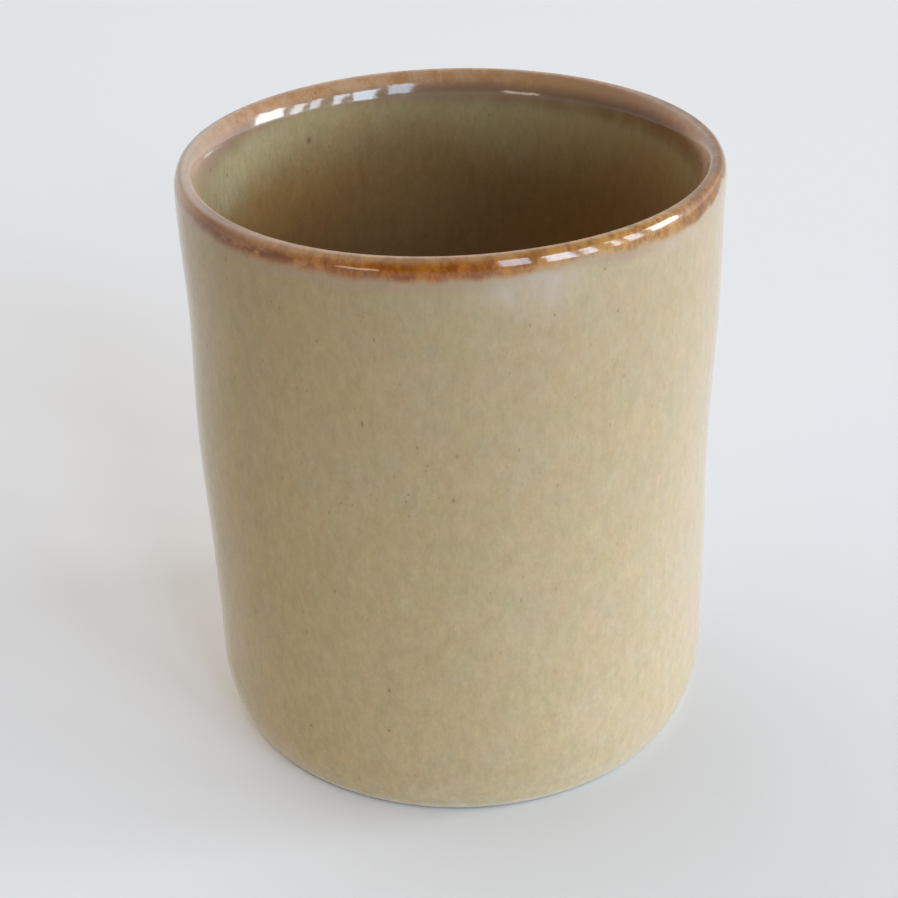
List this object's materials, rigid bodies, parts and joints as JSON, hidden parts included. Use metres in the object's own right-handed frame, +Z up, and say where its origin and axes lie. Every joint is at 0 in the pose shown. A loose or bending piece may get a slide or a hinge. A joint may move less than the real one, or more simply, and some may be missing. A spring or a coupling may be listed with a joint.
{
  "type": "espresso cup",
  "caption": "Handle-less stoneware espresso cup: a slightly tapered round beaker with a softly rounded heel, sand-coloured gloss glaze and an amber band over the lip.",
  "frame": {"origin": "centre of the foot, on the surface that the cup stands on", "axes": "+Z up along the cup's axis of turning, out of its mouth; X and Y are free, because the cup is round"},
  "size_m": [0.06, 0.06, 0.0689],
  "materials": {
    "bare_stoneware": "matte, unglazed buff stoneware",
    "sand_glaze": "gloss, mottled sand to olive with small dark brown specks",
    "amber_glaze": "gloss, amber to dark brown where the glaze runs thin over the lip",
    "liner_glaze": "gloss, olive sand"
  },
  "bodies": {
    "root": {"stoneware_body": "bare_stoneware", "outer_glaze": "sand_glaze", "rim_glaze": "amber_glaze", "liner_glaze": "liner_glaze", "base_glaze": "sand_glaze"}
  },
  "joints": []
}
